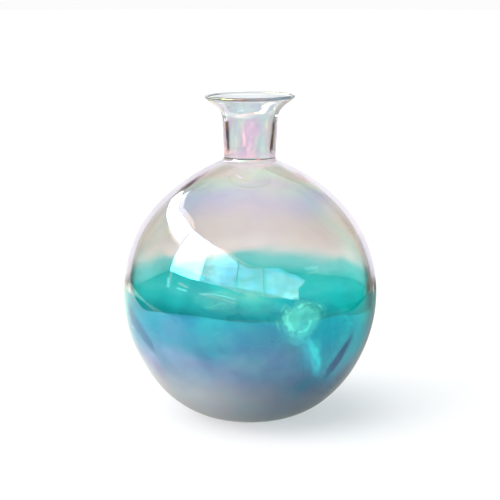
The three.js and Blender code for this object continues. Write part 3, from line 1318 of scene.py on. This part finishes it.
@dataclass
class Studio:
    """A pale table and floor, a soft room, window-shaped softboxes and the camera."""

    table_radius: float = 0.52
    table_depth: float = 0.92
    table_open: float = 0.10
    table_spread: float = 0.85
    floor_radius: float = 14.0
    pale: Colour = (0.52, 0.52, 0.52)
    own_light: float = 0.50
    table_left: float = 1.6
    table_right: float = 0.40
    table_tone: Colour = (1.0, 0.98, 0.86)
    key_strength: float = 1.5
    top_strength: float = 1.0
    camera_distance: float = 1.186
    camera_height: float = 0.346
    aim_height: float = 0.1318
    lens: float = 110.0

    def _paint(self, name: str, mirrored: bool) -> bpy.types.Material:
        """Pale matt paint with the faintest unevenness; on the table, painted light and shadow that only the
        glass mirrors.

        Args:
            name: the material's name.
            mirrored: whether the glass mirrors it, as a table that is lit from the left, or not at all.

        Returns:
            The material.
        """
        material, sheet = new_material(name)
        mottle = sheet.clouds(0.4, 71.0, detail=4.0)
        tone = sheet.blend(mottle, self.pale, tuple(part * 0.985 for part in self.pale))
        values = {
            "Base Color": tone,
            "Roughness": 0.9,
            "Specular IOR Level": 0.0,
            "Emission Color": WHITE,
            "Emission Strength": self.own_light,
        }
        shader = sheet.add("ShaderNodeBsdfPrincipled", {}, values)
        glow = sheet.see_through(WHITE)
        if mirrored:
            # Painted light and shadow for the glass to mirror: brighter to the left, darker to the right, and
            # darker round the foot of the vase.
            across = sheet.add("ShaderNodeSeparateXYZ", {}, {0: sheet.place()}, "X")
            strength = across.ease(0.30, -0.30) * (self.table_left - self.table_right) + self.table_right
            reach = sheet.add("ShaderNodeVectorMath", {"operation": "LENGTH"}, {0: sheet.place()}, "Value")
            strength = strength * (reach.ease(0.03, 0.16) * 0.6 + 0.4)
            glow = sheet.glow(self.table_tone, strength)
        sheet.finish(sheet.layer(mirrored_share(sheet), shader, glow))
        return material

    def _table_edge(self, turns: np.ndarray) -> np.ndarray:
        """How far the table reaches at each angle: least in front and at the sides, most behind."""
        share = np.clip((np.sin(turns) - self.table_open) / self.table_spread, 0.0, 1.0)
        return self.table_radius + (self.table_depth - self.table_radius) * share * share * (3 - 2 * share)

    def _flat(self, name: str, turns: np.ndarray, outer: np.ndarray, inner: np.ndarray | None,
              paint: bpy.types.Material) -> bpy.types.Object:
        """A flat piece of ground between two outlines, or the whole of the outer one.

        Args:
            name: the object's name.
            turns: the angles round the vase at which the outlines are given.
            outer: the outer outline's distance from the vase at each angle.
            inner: the inner outline's distance, or None for a piece without a hole.
            paint: its material.

        Returns:
            The new object.
        """
        count = len(turns)
        rim = np.stack([np.cos(turns), np.sin(turns), np.zeros(count)], axis=1)
        points = (rim * outer[:, None]).tolist()
        faces: list[tuple[int, ...]] = [tuple(range(count))]
        if inner is not None:
            points += (rim * inner[:, None]).tolist()
            faces = [(i, (i + 1) % count, count + (i + 1) % count, count + i) for i in range(count)]
        mesh = bpy.data.meshes.new(name)
        mesh.from_pydata(points, [], faces)
        mesh.materials.append(paint)
        ring = bpy.data.objects.new(name, mesh)
        bpy.context.scene.collection.objects.link(ring)
        return ring

    def _ground(self) -> None:
        """The table top under the vase, and the floor that carries on from it at the same height."""
        turns = np.arange(180) * (2 * math.pi / 180)
        edge = self._table_edge(turns)
        self._flat("table_top", turns, edge, None, self._paint("table_paint", True))
        floor = np.full_like(turns, self.floor_radius)
        self._flat("floor", turns, floor, edge, self._paint("floor_paint", False))

    def _room(self) -> None:
        """A white surround for what is seen directly, and a dimmer room for what the glass mirrors."""
        world = bpy.data.worlds.new("soft_room")
        bpy.context.scene.world = world
        world.use_nodes = True
        sheet = Sheet(world.node_tree)
        direction = sheet.add("ShaderNodeTexCoord", {}, {}, "Generated")
        rise = sheet.add("ShaderNodeSeparateXYZ", {}, {0: direction}, "Z")
        back = sheet.add("ShaderNodeSeparateXYZ", {}, {0: direction}, "Y")
        side = sheet.add("ShaderNodeSeparateXYZ", {}, {0: direction}, "X")

        def path(fact: str) -> Signal:
            """One fact about the light's path."""
            return sheet.add("ShaderNodeLightPath", {}, {}, fact)

        seen = sheet.blend(rise.ease(0.10, 0.60), (0.97, 0.97, 0.97), (0.70, 0.71, 0.73))
        shining = sheet.blend(side.ease(0.5, -0.7), (0.30, 0.30, 0.31), (1.25, 1.25, 1.27))
        ramp = [
            (0.0, (0.02, 0.02, 0.02)), (0.50, (0.02, 0.02, 0.02)), (0.58, (0.06, 0.06, 0.06)),
            (0.86, (0.26, 0.26, 0.26)), (0.94, (0.55, 0.55, 0.55)), (1.0, (0.75, 0.75, 0.75)),
        ]
        dim = sheet.add("ShaderNodeValToRGB", {"stops": ramp}, {0: rise * 0.5 + 0.5})
        dim = sheet.blend(back.ease(0.70, 0.92), dim, (0.95, 0.95, 0.95))
        unmirrored = path("Is Camera Ray").at_least(path("Is Transmission Ray"))
        straight = unmirrored * (1 - path("Diffuse Depth").at_most(1.0))
        colour = sheet.blend(mirrored_share(sheet), sheet.blend(straight, shining, seen), dim)
        sheet.finish(sheet.add("ShaderNodeBackground", {}, {"Color": colour}), "ShaderNodeOutputWorld")

    def _sun(self, name: str, strength: float, away: Vector) -> None:
        """Adds one broad light that comes from a direction and is not mirrored."""
        data = bpy.data.lights.new(name, "SUN")
        data.energy = strength
        data.angle = math.radians(50)
        lamp = bpy.data.objects.new(name, data)
        lamp.rotation_euler = away.to_track_quat("Z", "Y").to_euler()
        lamp.visible_glossy = False
        lamp.visible_transmission = False
        lamp.visible_camera = False
        bpy.context.scene.collection.objects.link(lamp)

    def _lamps(self) -> None:
        """A low light from the left, one from above, and the panes that the glass mirrors."""
        self._sun("window_light", self.key_strength, Vector((-0.85, -0.35, 0.50)))
        self._sun("ceiling_light", self.top_strength, Vector((-0.15, -0.20, 1.0)))
        for pane in ROOM_PANES:
            pane.build()

    def _camera(self) -> None:
        """The camera, a little above the rim and looking slightly down."""
        data = bpy.data.cameras.new("camera")
        data.lens = self.lens
        data.sensor_width = 36.0
        camera = bpy.data.objects.new("camera", data)
        camera.location = (0.0, -self.camera_distance, self.camera_height)
        aim = Vector((0.0, 0.0, self.aim_height)) - camera.location
        camera.rotation_euler = aim.to_track_quat("-Z", "Y").to_euler()
        bpy.context.scene.collection.objects.link(camera)
        bpy.context.scene.camera = camera

    def _light_paths(self) -> None:
        """Lets light go through all the skins of the vase, and keeps stray bright dots down."""
        scene = bpy.context.scene
        scene.view_settings.view_transform = "Standard"
        cycles = scene.cycles
        cycles.max_bounces = 24
        cycles.transmission_bounces = 24
        cycles.glossy_bounces = 8
        cycles.diffuse_bounces = 3
        cycles.transparent_max_bounces = 40
        cycles.sample_clamp_indirect = 6.0

    def build(self) -> None:
        """Builds the whole studio."""
        self._ground()
        self._room()
        self._lamps()
        self._camera()
        self._light_paths()


def main() -> None:
    """Builds the vase and the studio round it."""
    logging.basicConfig(level=logging.INFO, format="%(name)s: %(message)s")
    Vase().build()
    Studio().build()


if __name__ == "__main__":
    main()
